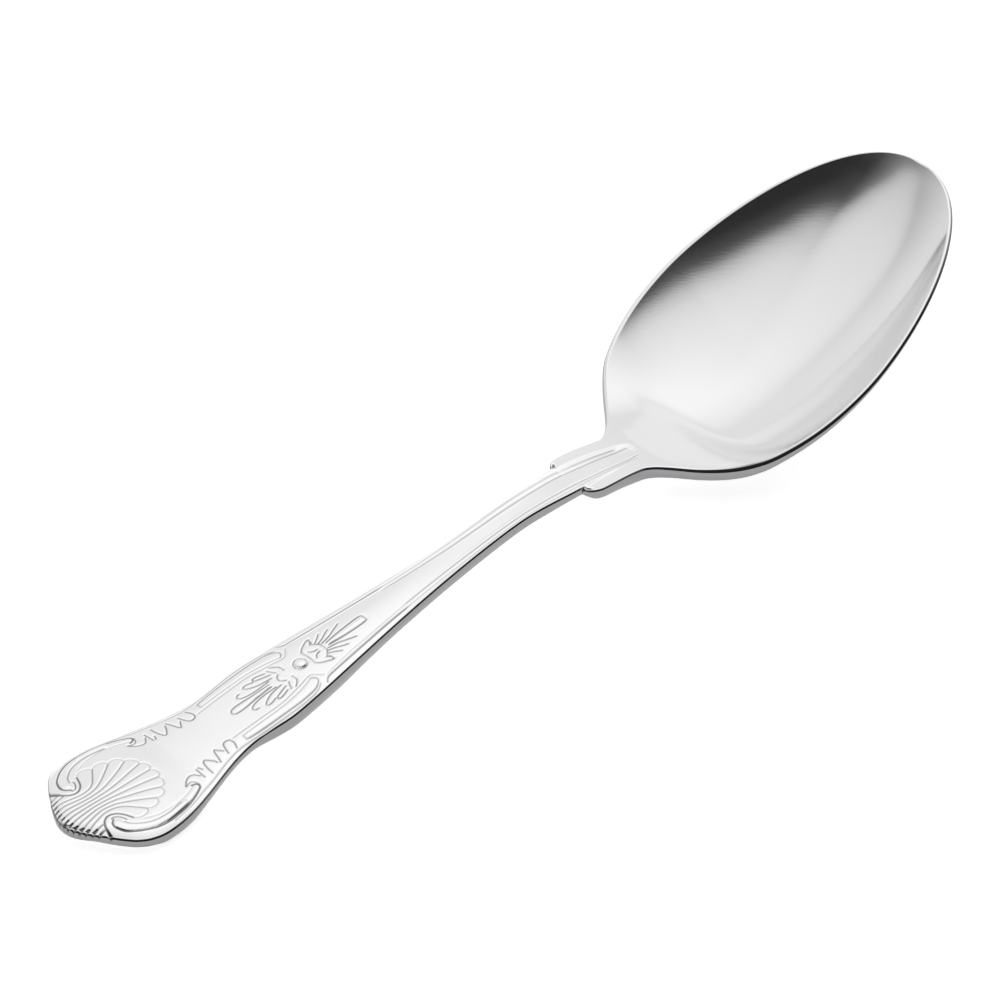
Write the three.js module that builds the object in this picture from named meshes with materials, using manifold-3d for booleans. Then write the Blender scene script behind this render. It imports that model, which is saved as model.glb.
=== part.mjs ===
// A dessert spoon in the traditional shell and thread pattern, struck in one piece from stainless
// steel. Lengths are millimetres. +X runs from the end of the handle to the tip of the bowl and +Z
// is up. The spoon lies on the plane z = 0, on the flat back of its handle end and on its belly.
import * as THREE from 'three';
import Module from 'manifold-3d';

// Lengths in plan
const LENGTH = 180;
const BOWL_LENGTH = 66;
const NECK_LENGTH = 11.6;
const STEM_TAPER_LENGTH = 12.4;
const LOBE_X = 10.6;
const WAIST_X = 33;
const PANEL_X = 39.5;
const HEEL_LENGTH = 15.5;
const TIP_LENGTH = 34;

// Widths in plan
const LOBE_WIDTH = 21.4;
const WAIST_WIDTH = 12.6;
const PANEL_WIDTH = 13;
const STEM_WIDTH = 5.2;
const STEM_END_WIDTH = 6;
const PANEL_END_WIDTH = 3.6;
const BARB_WIDTH = 9.8;
const BARB_ROUND = 3;
const NECK_WIDTH = 9.3;
const HEEL_WIDTH = 35.5;
const BOWL_WIDTH = 42;
const BLUNT_WIDTH = 1;

// Shape of the two ends in plan: a low power makes a pointed end, a high one a square end
const END_POWER = 2;
const END_ROUND = 0.7;
const TIP_POWER = 1.6;
const TIP_ROUND = 0.46;
const TAPER_SKEW = 0.72;

// Side view, as straight runs with blended corners
const HANDLE_FLAT = 18.8;
const FLAT_BLEND = 6;
const CREST_BACK = 13;
const CREST_HEIGHT = 10.35;
const CREST_BLEND = 14.7;
const DIP_LENGTH = 9.4;
const DIP_BLEND = 3.4;
const RIM_PITCH = 21.6;

// Thickness of the metal
const END_THICKNESS = 1.9;
const WAIST_THICKNESS = 1.6;
const PANEL_THICKNESS = 2.3;
const STEM_THICKNESS = 1.9;
const NECK_THICKNESS = 2.2;
const RIM_THICKNESS = 1.1;
const CROWN = 0.5;
const END_CROWN = 1;
const STEM_CROWN = 0;
const BACK_ROUND = 0.4;
const EDGE_ROUND = 0.3;
const WING_DROP = 0.35;
const PANEL_RUN = 3.6;

// Hollow of the bowl
const BOWL_DEPTH = 10.16;
const HOLLOW_START = 2.5;
const HOLLOW_EASE = 18;
const HOLLOW_SKEW = 0.93;
const SECTION_POWER = 2.2;

// Thread border, volutes and scrolls of the handle
const RELIEF = 0.34;
const STROKE_SECTION = [[-1, -1], [-0.75, 0.55], [0, 1], [0.75, 0.55], [1, -1]];
const THREAD_INSET = 0.62;
const THREAD_HALF_WIDTH = 0.52;
const VOLUTE_X = 6.3;
const VOLUTE_Y = 5.2;
const VOLUTE_RADIUS = 1.45;
const VOLUTE_MOUTH = 3.05;
const VOLUTE_TURN = [110, 340];
const SCROLL_END_X = 20;
const SCROLL_INSET = 2.05;
const SCROLL_MOUTH = 1.8;
const SCROLL_EYE = 0.7;
const SCROLL_TURN = [100, 230];

// Shell at the end of the handle: its ribs are pinched between the volutes, then fan out
const SHELL_RIBS = 10;
const SHELL_EDGE_X = 0.5;
const SHELL_EDGE_PITCH = 0.85;
const SHELL_PINCH_X = 5.8;
const SHELL_PINCH_PITCH = 0.62;
const SHELL_FAN_LENGTH = 12.3;
const SHELL_FAN_HALF_WIDTH = 6.1;
const SHELL_FAN_STEP = 17;
const SHELL_FAN_POWER = 0.7;
const RIB_FILL = 0.47;
const RIB_TIP_HALF_WIDTH = 0.85;
const RIB_BEND = 0.25;

// Leaves of the waist and loops of the panel
const LEAF_COUNT = 5;
const LEAF_FIRST_X = 20.4;
const LEAF_PITCH = 2.15;
const LEAF_LENGTH = 1.9;
const LEAF_HALF_WIDTH = 0.62;
const LOOP_START_X = 31.4;
const LOOP_END_X = 46.6;
const LOOP_INSET = 1.65;
const LOOP_DEPTH = 1.35;
const LOOP_HALF_WIDTH = 0.3;

// Bead between two palmettes that point away from it
const BEAD_X = 47.1;
const BEAD_RADIUS = 0.95;
const BEAD_HEIGHT = 0.68;
const PALMETTE_GAP = 3.3;
const PALMETTE_LENGTH = 10.4;
const PALMETTE_ROOT_WIDTH = 1.7;
const PALMETTE_WIDTH = 4.9;
const PETALS_PER_SIDE = 3;
const PETAL_STEP = 2;
const PETAL_HALF_WIDTH = 0.5;

// Facets
const HANDLE_STATIONS = 40;
const BOWL_STATIONS = 42;
const STATION_CROWDING = 0.8;
const HANDLE_FACETS = 4;
const BOWL_FACETS = 12;
const BEAD_SIDES = 12;
const BEAD_RINGS = 3;
const THREAD_POINTS = 24;
const CURL_POINTS = 5;
const THREAD_STEPS = 46;
const SCROLL_STEPS = 10;
const RIB_STEPS = 8;
const LEAF_STEPS = 4;
const LOOP_STEPS = 18;
const PETAL_STEPS = 5;

const neckX = LENGTH - BOWL_LENGTH;
const barbX = neckX - NECK_LENGTH;
const stemX = barbX - STEM_TAPER_LENGTH;
const heelX = neckX + HEEL_LENGTH;
const widestX = LENGTH - TIP_LENGTH;
const hollowX = neckX + HOLLOW_START;
const panelEndX = neckX + PANEL_RUN;
const dipX = neckX + DIP_LENGTH;
const crestX = neckX - CREST_BACK;
const rimSlope = Math.tan(THREE.MathUtils.degToRad(RIM_PITCH));

const mix = (a, b, t) => a + (b - a) * t;
const share = (x, from, to) => THREE.MathUtils.clamp((x - from) / (to - from), 0, 1);
const ease = (t) => t * t * (3 - 2 * t);
const easeBetween = (a, b, x, from, to, skew = 1) => mix(a, b, ease(share(x, from, to) ** skew));

/** A rounded end: zero at its nose, full at the widest station. */
function roundedEnd(distance, length, power, round) {
  const toNose = 1 - THREE.MathUtils.clamp(distance / length, 0, 1);
  return (1 - toNose ** power) ** round;
}

/** A cubic between two stations with given slopes. */
function hermite(x, [x0, y0, m0], [x1, y1, m1]) {
  const run = x1 - x0;
  const t = (x - x0) / run;
  const rise = ease(t);
  return mix(y0, y1, rise) + run * (m0 * t * (1 - t) ** 2 - m1 * t * t * (1 - t));
}

/** Half the width of the handle blank, which runs on over the neck as a raised panel. */
function handleHalfWidth(x) {
  const blunt = BLUNT_WIDTH / 2;
  if (x < LOBE_X) return Math.max(blunt, (LOBE_WIDTH / 2) * roundedEnd(x, LOBE_X, END_POWER, END_ROUND));
  if (x < WAIST_X) return easeBetween(LOBE_WIDTH, WAIST_WIDTH, x, LOBE_X, WAIST_X) / 2;
  if (x < PANEL_X) return easeBetween(WAIST_WIDTH, PANEL_WIDTH, x, WAIST_X, PANEL_X) / 2;
  if (x < stemX) return easeBetween(PANEL_WIDTH, STEM_WIDTH, x, PANEL_X, stemX, TAPER_SKEW) / 2;
  if (x < barbX) return easeBetween(STEM_WIDTH, STEM_END_WIDTH, x, stemX, barbX) / 2;
  return easeBetween(STEM_END_WIDTH, PANEL_END_WIDTH, x, barbX, panelEndX) / 2;
}

/** Half the width of the bowl blank, from the round noses of its barbs to the tip. */
function bowlHalfWidth(x) {
  const barb = BARB_WIDTH / 2;
  const stem = STEM_END_WIDTH / 2;
  if (x < barbX + BARB_ROUND) {
    const toNose = 1 - share(x, barbX, barbX + BARB_ROUND);
    return mix(stem, barb, Math.sqrt(1 - toNose * toNose));
  }
  if (x < neckX) return easeBetween(BARB_WIDTH, NECK_WIDTH, x, barbX + BARB_ROUND, neckX) / 2;
  const neck = [neckX, NECK_WIDTH / 2, 0];
  const heel = [heelX, HEEL_WIDTH / 2, (BOWL_WIDTH - NECK_WIDTH) / 2 / (widestX - neckX)];
  if (x < heelX) return hermite(x, neck, heel);
  if (x < widestX) return hermite(x, heel, [widestX, BOWL_WIDTH / 2, 0]);
  const full = BOWL_WIDTH / 2;
  return Math.max(BLUNT_WIDTH / 2, full * roundedEnd(LENGTH - x, TIP_LENGTH, TIP_POWER, TIP_ROUND));
}

/** How deep the hollow is along its middle line, below the rim. */
function hollowDepth(x) {
  const run = share(x, hollowX, LENGTH);
  const start = ease(share(x, hollowX, hollowX + HOLLOW_EASE));
  return BOWL_DEPTH * Math.sin(Math.PI * run ** HOLLOW_SKEW) * start;
}

/** Height of the dip at the neck that just sets the belly of the bowl on the table. */
function findDipHeight() {
  let lowest = 0;
  for (const x of stations(dipX + DIP_BLEND, LENGTH, BOWL_STATIONS)) {
    lowest = Math.min(lowest, rimSlope * (x - dipX) - hollowDepth(x) - rimThickness(x) - BACK_ROUND);
  }
  return -lowest;
}

/** Height of the edge of the spoon in side view. */
function sideProfile(x) {
  const corners = [
    { x: HANDLE_FLAT, z: END_THICKNESS, blend: FLAT_BLEND },
    { x: crestX, z: CREST_HEIGHT, blend: CREST_BLEND },
    { x: dipX, z: dipHeight, blend: DIP_BLEND },
  ];
  const slopes = [0];
  for (let i = 1; i < corners.length; i += 1) {
    slopes.push((corners[i].z - corners[i - 1].z) / (corners[i].x - corners[i - 1].x));
  }
  slopes.push(rimSlope);
  let z = corners[0].z;
  corners.forEach((corner, i) => {
    const past = THREE.MathUtils.clamp(x - corner.x + corner.blend, 0, 2 * corner.blend);
    const beyond = Math.max(0, x - corner.x - corner.blend);
    z += (slopes[i + 1] - slopes[i]) * (past * past / (4 * corner.blend) + beyond);
  });
  return z;
}

/** Stations from one x to another, closer together towards both ends. */
function stations(from, to, count) {
  return Array.from({ length: count + 1 }, (_, i) => {
    const t = i / count;
    return mix(from, to, mix(t, (1 - Math.cos(Math.PI * t)) / 2, STATION_CROWDING));
  });
}

function handleThickness(x) {
  if (x < WAIST_X) return easeBetween(END_THICKNESS, WAIST_THICKNESS, x, HANDLE_FLAT, WAIST_X);
  if (x < BEAD_X) return easeBetween(WAIST_THICKNESS, PANEL_THICKNESS, x, WAIST_X, BEAD_X);
  if (x < stemX) return easeBetween(PANEL_THICKNESS, STEM_THICKNESS, x, BEAD_X, stemX);
  if (x < neckX) return easeBetween(STEM_THICKNESS, NECK_THICKNESS, x, stemX, neckX);
  return easeBetween(NECK_THICKNESS, RIM_THICKNESS, x, neckX, heelX);
}

function rimThickness(x) {
  return easeBetween(NECK_THICKNESS - WING_DROP, RIM_THICKNESS, x, neckX, heelX);
}

const dipHeight = findDipHeight();

/** Rise of the middle of the handle over its edges, highest under the shell. */
function crownHeight(x) {
  if (x < LOBE_X) return easeBetween(CROWN, END_CROWN, x, 0, LOBE_X);
  if (x < WAIST_X) return easeBetween(END_CROWN, CROWN, x, LOBE_X, WAIST_X);
  return easeBetween(CROWN, STEM_CROWN, x, BEAD_X, stemX);
}

/** Top of the handle blank, crowned across its width. */
function handleTop(x, y) {
  const across = Math.min(1, Math.abs(y) / handleHalfWidth(x));
  return sideProfile(x) + crownHeight(x) * (1 - across * across);
}

/** Back of the handle blank: flat at the end, rounded along the stem. */
function handleBack(x, y) {
  const across = Math.min(1, Math.abs(y) / handleHalfWidth(x));
  const round = easeBetween(0, BACK_ROUND, x, HANDLE_FLAT, stemX);
  return sideProfile(x) - handleThickness(x) - round * (1 - across * across);
}

/** Height of the rim; the wings of the neck lie a little below the panel between them. */
function rimHeight(x) {
  return sideProfile(x) - easeBetween(WING_DROP, 0, x, neckX, heelX);
}

function bowlInside(x, y) {
  const across = Math.min(1, Math.abs(y) / bowlHalfWidth(x));
  return rimHeight(x) - hollowDepth(x) * (1 - across ** SECTION_POWER);
}

function bowlOutside(x, y) {
  const across = Math.min(1, Math.abs(y) / bowlHalfWidth(x));
  const fall = hollowDepth(x) + BACK_ROUND;
  return rimHeight(x) - rimThickness(x) - fall * (1 - across ** SECTION_POWER);
}

/** A closed skin over rings of equally many points, capped at both ends or run round as a loop. */
function skin(rings, loop = false) {
  const count = rings[0].length;
  const positions = rings.flat(2);
  const index = [];
  const spans = loop ? rings.length : rings.length - 1;
  for (let r = 0; r < spans; r += 1) {
    const near = r * count;
    const far = ((r + 1) % rings.length) * count;
    for (let k = 0; k < count; k += 1) {
      const next = (k + 1) % count;
      index.push(near + k, near + next, far + k, near + next, far + next, far + k);
    }
  }
  if (loop) return { positions, index };
  for (const [r, flip] of [[0, true], [rings.length - 1, false]]) {
    const centre = positions.length / 3;
    const ring = rings[r];
    for (let axis = 0; axis < 3; axis += 1) {
      positions.push(ring.reduce((sum, point) => sum + point[axis], 0) / count);
    }
    for (let k = 0; k < count; k += 1) {
      const a = r * count + k;
      const b = r * count + ((k + 1) % count);
      index.push(...(flip ? [b, a, centre] : [a, b, centre]));
    }
  }
  return { positions, index };
}

/** A blank lofted along x between a top and a back surface, with its top edges eased. */
function blank(xs, halfWidth, top, back, facets) {
  const rings = xs.map((x) => {
    const half = halfWidth(x);
    const bevel = Math.min(EDGE_ROUND, half / 2);
    const across = Array.from({ length: facets + 1 }, (_, k) => (half - bevel) * (2 * k / facets - 1));
    const edge = top(x, half);
    const upper = across.map((y) => [x, y, top(x, y)]);
    const lower = across.map((y) => [x, y, back(x, y)]).reverse();
    const foot = back(x, half);
    return [
      [x, -half, edge - bevel], ...upper, [x, half, edge - bevel],
      [x, half, foot], ...lower, [x, -half, foot],
    ];
  });
  return skin(rings);
}

/** A raised stroke that lies on the handle along a curve, with its half width given along it. */
function stroke(plan, halfWidths, steps, loop = false) {
  const curve = new THREE.CatmullRomCurve3(plan.map(([x, y]) => new THREE.Vector3(x, y, 0)), loop);
  const rings = Array.from({ length: loop ? steps : steps + 1 }, (_, i) => {
    const t = i / steps;
    const at = curve.getPoint(t);
    const along = curve.getTangent(t);
    const place = t * (halfWidths.length - 1);
    const from = Math.min(Math.floor(place), halfWidths.length - 2);
    const half = mix(halfWidths[from], halfWidths[from + 1], place - from);
    const z = handleTop(at.x, at.y);
    return STROKE_SECTION.map(([out, up]) => [
      at.x - along.y * out * half, at.y + along.x * out * half, z + RELIEF * up,
    ]);
  });
  return skin(rings, loop);
}

/** Points of a curl round the middle of a volute, between two angles, as its reach shrinks. */
function curl(side, [from, to], mouth, eye) {
  return Array.from({ length: CURL_POINTS + 1 }, (_, i) => {
    const t = i / CURL_POINTS;
    const turn = THREE.MathUtils.degToRad(mix(from, to, t));
    const reach = mix(mouth, eye, Math.min(1, 2 * t));
    return [VOLUTE_X + reach * Math.cos(turn), side * (VOLUTE_Y + reach * Math.sin(turn))];
  });
}

/** Points along one edge of the handle, at an inset from it. */
function alongEdge(side, inset, from, to, count) {
  return Array.from({ length: count + 1 }, (_, i) => {
    const x = mix(from, to, i / count);
    return [x, side * (handleHalfWidth(x) - inset)];
  });
}

/** The thread that borders one edge of the handle and curls into a volute beside the shell. */
function threadBorder(side) {
  const edge = alongEdge(side, THREAD_INSET, panelEndX - THREAD_INSET, LOBE_X, THREAD_POINTS);
  const plan = [...edge, ...curl(side, VOLUTE_TURN, VOLUTE_MOUTH, VOLUTE_RADIUS)];
  return stroke(plan, [THREAD_HALF_WIDTH, THREAD_HALF_WIDTH], THREAD_STEPS);
}

/** The inner scroll that follows the border round the lobe and ends in the eye of the volute. */
function innerScroll(side) {
  const edge = alongEdge(side, SCROLL_INSET, SCROLL_END_X, LOBE_X, 2);
  const plan = [...edge, ...curl(side, SCROLL_TURN, SCROLL_MOUTH, SCROLL_EYE)];
  const thin = THREAD_HALF_WIDTH / 2;
  return stroke(plan, [thin, THREAD_HALF_WIDTH, THREAD_HALF_WIDTH, thin], SCROLL_STEPS);
}

/** One rib of the shell; the numbers count outwards from its middle line. */
function shellRib(number) {
  const side = Math.sign(number);
  const count = Math.abs(number);
  const turn = THREE.MathUtils.degToRad(count * SHELL_FAN_STEP);
  const edgeY = count * SHELL_EDGE_PITCH;
  const edgeX = SHELL_EDGE_X + LOBE_X - Math.sqrt(LOBE_X * LOBE_X - edgeY * edgeY);
  const pinchY = count * SHELL_PINCH_PITCH;
  const tipX = SHELL_PINCH_X + SHELL_FAN_LENGTH * Math.cos(turn) ** SHELL_FAN_POWER;
  const tipY = SHELL_FAN_HALF_WIDTH * Math.sin(turn);
  const plan = [
    [edgeX, side * edgeY],
    [SHELL_PINCH_X, side * pinchY],
    [(SHELL_PINCH_X + tipX) / 2, side * mix(pinchY, tipY, RIB_BEND)],
    [tipX, side * tipY],
  ];
  const edgeHalf = SHELL_EDGE_PITCH * RIB_FILL;
  const pinchHalf = SHELL_PINCH_PITCH * RIB_FILL;
  const widths = [edgeHalf, pinchHalf, pinchHalf, RIB_TIP_HALF_WIDTH, RIB_TIP_HALF_WIDTH];
  return stroke(plan, widths, RIB_STEPS);
}

/** One leaf of the waist, growing inwards from the border. */
function waistLeaf(side, number) {
  const x = LEAF_FIRST_X + number * LEAF_PITCH;
  const root = handleHalfWidth(x) - 2 * THREAD_INSET;
  const plan = [[x - LEAF_HALF_WIDTH, side * root], [x, side * (root - LEAF_LENGTH)]];
  return stroke(plan, [LEAF_HALF_WIDTH, LEAF_HALF_WIDTH, LEAF_HALF_WIDTH / 2], LEAF_STEPS);
}

/** The long loop that lines one side of the panel. */
function panelLoop(side) {
  const round = LOOP_DEPTH / 2;
  const from = LOOP_START_X + round;
  const to = LOOP_END_X - round;
  const outer = alongEdge(side, LOOP_INSET, to, from, 2);
  const inner = alongEdge(side, LOOP_INSET + LOOP_DEPTH, from, to, 2);
  const [start, end] = alongEdge(side, LOOP_INSET + round, LOOP_START_X, LOOP_END_X, 1);
  const plan = [start, ...inner, end, ...outer];
  return stroke(plan, [LOOP_HALF_WIDTH, LOOP_HALF_WIDTH], LOOP_STEPS, true);
}

/** One petal of a palmette: number 0 is its middle, the others spread to both sides. */
function petal(direction, number) {
  const side = Math.sign(number);
  const count = Math.abs(number);
  const root = BEAD_X + direction * PALMETTE_GAP;
  const reach = direction * (PALMETTE_LENGTH - count * PETAL_STEP);
  const out = Math.sqrt(count / PETALS_PER_SIDE);
  const rootY = (side * out * PALMETTE_ROOT_WIDTH) / 2;
  const tipY = (side * out * PALMETTE_WIDTH) / 2;
  const plan = [[root, rootY], [root + reach / 2, (rootY + tipY) / 2], [root + reach, tipY]];
  return stroke(plan, [PETAL_HALF_WIDTH / 2, PETAL_HALF_WIDTH / 2, PETAL_HALF_WIDTH], PETAL_STEPS);
}

/** The bead: a low dome, sunk into the handle by the height of the relief. */
function bead() {
  const level = handleTop(BEAD_X, 0);
  const ring = (out, z) => Array.from({ length: BEAD_SIDES }, (_, k) => {
    const around = (2 * Math.PI * k) / BEAD_SIDES;
    return [BEAD_X + out * Math.cos(around), out * Math.sin(around), z];
  });
  const rings = [ring(BEAD_RADIUS, level - RELIEF)];
  for (let i = 0; i < BEAD_RINGS; i += 1) {
    const rise = (i * Math.PI) / 2 / BEAD_RINGS;
    rings.push(ring(BEAD_RADIUS * Math.cos(rise), level + BEAD_HEIGHT * Math.sin(rise)));
  }
  return skin(rings);
}

const wasm = await Module();
wasm.setup();

/** A solid whose faces point out, placed with the middle of the length at the origin. */
function solid({ positions, index }) {
  const vertProperties = Float32Array.from(positions, (value, i) => value - (i % 3 === 0 ? LENGTH / 2 : 0));
  const corner = (i) => new THREE.Vector3().fromArray(vertProperties, 3 * i);
  let volume = 0;
  for (let i = 0; i < index.length; i += 3) {
    const [a, b, c] = index.slice(i, i + 3).map(corner);
    volume += a.dot(b.cross(c));
  }
  const triVerts = Uint32Array.from(volume < 0 ? index.toReversed() : index);
  return new wasm.Manifold(new wasm.Mesh({ numProp: 3, vertProperties, triVerts }));
}

function geometryOf(manifold) {
  const { vertProperties, triVerts } = manifold.getMesh();
  const geometry = new THREE.BufferGeometry();
  geometry.setAttribute('position', new THREE.BufferAttribute(vertProperties, 3));
  geometry.setIndex(new THREE.BufferAttribute(triVerts, 1));
  geometry.computeVertexNormals();
  return geometry;
}

function spoon() {
  const handleXs = stations(0, panelEndX, HANDLE_STATIONS);
  const bowlXs = stations(barbX, LENGTH, BOWL_STATIONS);
  const pieces = [
    blank(handleXs, handleHalfWidth, handleTop, handleBack, HANDLE_FACETS),
    blank(bowlXs, bowlHalfWidth, bowlInside, bowlOutside, BOWL_FACETS),
    bead(),
  ];
  const outermostRib = (SHELL_RIBS - 1) / 2;
  for (let number = -outermostRib; number <= outermostRib; number += 1) pieces.push(shellRib(number));
  for (const side of [1, -1]) {
    pieces.push(threadBorder(side), innerScroll(side), panelLoop(side));
    for (let number = 0; number < LEAF_COUNT; number += 1) pieces.push(waistLeaf(side, number));
  }
  for (const direction of [1, -1]) {
    for (let number = -PETALS_PER_SIDE; number <= PETALS_PER_SIDE; number += 1) {
      pieces.push(petal(direction, number));
    }
  }
  const joined = pieces.map(solid).reduce((whole, piece) => whole.add(piece));
  const steel = new THREE.MeshStandardMaterial({ color: 0xd3d4d6, roughness: 0.2, metalness: 1 });
  const mesh = new THREE.Mesh(geometryOf(joined), steel);
  mesh.name = 'spoon';
  return mesh;
}

const part = new THREE.Group();
part.add(spoon());

export default part;
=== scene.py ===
"""A dessert spoon in the shell and thread pattern, lying on its back on a white studio floor.

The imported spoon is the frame. One finely worked piece takes its place: the same blank, with the coined
ornament of the handle cut in full and the polished and brushed finishes of stainless steel. Sizes are
millimetres, counted along the spoon from the end of its handle; the finished mesh is in metres.
"""

import logging
import math
from dataclasses import astuple, dataclass
from enum import Enum
from itertools import chain

import bpy
import numpy as np
from mathutils import Matrix, Vector


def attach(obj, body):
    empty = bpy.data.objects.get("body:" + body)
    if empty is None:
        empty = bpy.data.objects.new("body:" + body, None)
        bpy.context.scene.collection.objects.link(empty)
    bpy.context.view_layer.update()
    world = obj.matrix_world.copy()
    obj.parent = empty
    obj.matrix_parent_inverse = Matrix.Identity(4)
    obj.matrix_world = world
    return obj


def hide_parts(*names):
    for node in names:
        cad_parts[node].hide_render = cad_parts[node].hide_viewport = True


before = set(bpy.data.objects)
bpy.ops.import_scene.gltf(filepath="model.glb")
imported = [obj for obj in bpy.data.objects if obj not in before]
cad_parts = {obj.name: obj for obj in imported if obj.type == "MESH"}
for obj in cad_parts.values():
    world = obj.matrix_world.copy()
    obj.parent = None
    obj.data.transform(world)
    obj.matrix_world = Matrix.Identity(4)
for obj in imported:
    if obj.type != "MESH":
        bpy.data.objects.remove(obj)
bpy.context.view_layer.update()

log = logging.getLogger("dessert_spoon")

MM = 0.001
PAINTED_LINE_SHADE = "painted_line_shade"
PAINTED_EDGE_SHADE = "painted_edge_shade"
WHITE = "#FFFFFF"
TINY = 1e-9
# Turns the five values of a point of a section into those of its mirror image.
MIRROR = (1.0, -1.0, 1.0, 1.0, 1.0)
Array = np.ndarray
Points = tuple[tuple[float, float], ...]
Colour = tuple[float, float, float, float]
Socket = bpy.types.NodeSocket
Tree = bpy.types.NodeTree


def linear(code: str) -> Colour:
    """Turns an sRGB hex colour into linear light.

    Args:
        code: The colour as "#RRGGBB".

    Returns:
        Red, green, blue and an alpha of one.
    """
    shares = [int(code[i : i + 2], 16) / 255 for i in (1, 3, 5)]
    light = [s / 12.92 if s <= 0.04045 else ((s + 0.055) / 1.055) ** 2.4 for s in shares]
    return (light[0], light[1], light[2], 1.0)


def grey(level: float) -> Colour:
    """A grey of one level of linear light, with an alpha of one."""
    return (level, level, level, 1.0)


def add_node(
    tree: Tree,
    kind: str,
    inputs: dict[str | int, object] | None = None,
    **settings: object,
) -> bpy.types.Node:
    """Adds one shader node, sets it and links it.

    Args:
        tree: The node tree that takes the node.
        kind: The node's type name, after "ShaderNode".
        inputs: Input names or places, each with a value, or with the socket or the node that feeds it.
        settings: Properties of the node itself.

    Returns:
        The new node.
    """
    node = tree.nodes.new("ShaderNode" + kind)
    for name, value in settings.items():
        setattr(node, name, value)
    for key, value in (inputs or {}).items():
        if isinstance(value, bpy.types.Node):
            value = value.outputs[0]
        if isinstance(value, Socket):
            tree.links.new(value, node.inputs[key])
        else:
            node.inputs[key].default_value = value
    return node


def ease(t: Array) -> Array:
    """A step from 0 to 1 that starts and ends without a kink, for shares clipped to 0 and 1."""
    t = np.clip(t, 0.0, 1.0)
    return t * t * t * (t * (6.0 * t - 15.0) + 10.0)


def ease_between(
    a: float,
    b: float,
    x: Array,
    start: float,
    end: float,
    skew: float = 1.0,
) -> Array:
    """Runs from one value to another between two stations.

    Args:
        a: Value up to the first station.
        b: Value from the second station on.
        x: Stations to work out.
        start: First station.
        end: Second station.
        skew: Power of the share; below one it turns early.

    Returns:
        The value at each station.
    """
    share = np.clip((x - start) / (end - start), 0.0, 1.0) ** skew
    return a + (b - a) * share * share * (3.0 - 2.0 * share)


def smooth_curve(stations: Points, x: Array) -> Array:
    """A smooth curve through given stations that never overshoots them.

    Args:
        stations: Pairs of place and value, in rising order.
        x: Places to work out.

    Returns:
        The value at each place.
    """
    px, py = np.array(stations).T
    run = np.diff(px)
    rise = np.diff(py) / run
    total = rise[:-1] + rise[1:]
    product = rise[:-1] * rise[1:]
    mean = 2.0 * product / np.where(total == 0.0, 1.0, total)
    slope = np.concatenate(([rise[0]], np.where(product > 0.0, mean, 0.0), [0.0]))
    i = np.clip(np.searchsorted(px, x) - 1, 0, len(run) - 1)
    t = np.clip((x - px[i]) / run[i], 0.0, 1.0)
    step = (py[i + 1] - py[i]) * t * t * (3.0 - 2.0 * t)
    bow = t * (1.0 - t) * run[i] * (slope[i] * (1.0 - t) - slope[i + 1] * t)
    return py[i] + step + bow


class Relief(Enum):
    """How a stroke of the die meets the blank."""

    GROOVE = -1.0
    RIDGE = 1.0


@dataclass(frozen=True)
class Stroke:
    """One line of the ornament, drawn on the side of the handle where y is positive."""

    points: Points
    half_width: float
    height: float
    relief: Relief = Relief.GROOVE
    step: float = 0.18

    def path(self) -> Array:
        """The drawn points with a smooth curve run through them.

        Returns:
            Points along the curve, about one step apart.
        """
        drawn = np.array(self.points)
        padded = np.vstack((2 * drawn[0] - drawn[1], drawn, 2 * drawn[-1] - drawn[-2]))
        runs: list[Array] = []
        for a, b, c, d in zip(padded, padded[1:], padded[2:], padded[3:]):
            count = max(2, int(np.linalg.norm(c - b) / self.step))
            t = np.linspace(0.0, 1.0, count, endpoint=False)[:, None]
            runs.append(
                b + 0.5 * t * (c - a + t * (2 * a - 5 * b + 4 * c - d + t * (3 * (b - c) + d - a)))
            )
        return np.vstack((*runs, drawn[-1:]))

    def height_at(self, x: Array, y: Array) -> Array:
        """How far the stroke lifts or sinks the blank.

        Args:
            x: Places along the spoon.
            y: Distances from its middle line.

        Returns:
            The change of height at each place.
        """
        path = self.path()
        out = np.zeros_like(x)
        low, high = path.min(axis=0) - self.half_width, path.max(axis=0) + self.half_width
        near = (x > low[0]) & (x < high[0]) & (y > low[1]) & (y < high[1])
        if not near.any():
            return out
        place = np.column_stack((x[near], y[near]))
        least = np.full(len(place), np.inf)
        for a, b in zip(path, path[1:]):
            along = b - a
            share = np.clip((place - a) @ along / max(along @ along, TINY), 0.0, 1.0)
            least = np.minimum(least, np.linalg.norm(place - a - share[:, None] * along, axis=1))
        fall = np.cos(0.5 * np.pi * np.clip(least / self.half_width, 0.0, 1.0)) ** 2
        out[near] = self.relief.value * self.height * fall
        return out


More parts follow.
